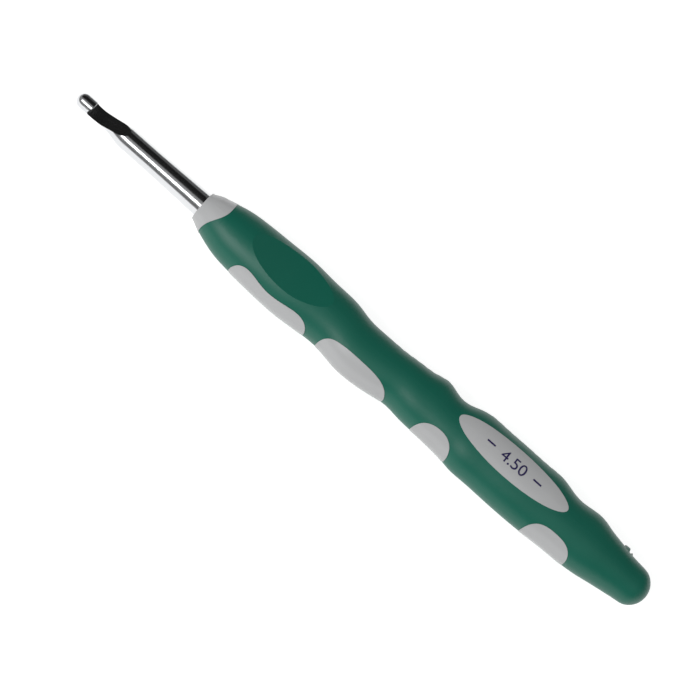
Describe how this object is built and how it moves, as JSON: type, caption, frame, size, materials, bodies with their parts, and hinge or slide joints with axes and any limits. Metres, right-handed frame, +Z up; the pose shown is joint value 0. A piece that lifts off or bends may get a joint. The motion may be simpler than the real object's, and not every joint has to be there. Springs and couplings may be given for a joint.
{
  "type": "crochet hook",
  "caption": "Crochet hook: a slim metal shaft with a tapered throat and lipped mouth, in a contoured soft-grip handle with thumb rest, finger pads and a size label.",
  "frame": {"origin": "middle of the base of the whole hook as it lies on its back, label up", "axes": "+X from the hook's tip to the handle's butt, +Y to the ribbed edge of the handle, +Z up out of the face with the thumb rest and label, which is also the way the hook's mouth opens"},
  "size_m": [0.142, 0.0138, 0.0114],
  "materials": {
    "aluminium_shaft": "polished bare aluminium with fine lengthwise drawing lines",
    "white_plastic": "glossy warm white hard plastic",
    "green_soft_grip": "satin emerald green thermoplastic elastomer with a fine moulded texture",
    "mark_ink": "thin navy pad-printed ink"
  },
  "bodies": {
    "root": {"hook_shaft": "aluminium_shaft", "handle_core": "white_plastic", "soft_grip": "green_soft_grip", "size_mark": "mark_ink"}
  },
  "joints": []
}
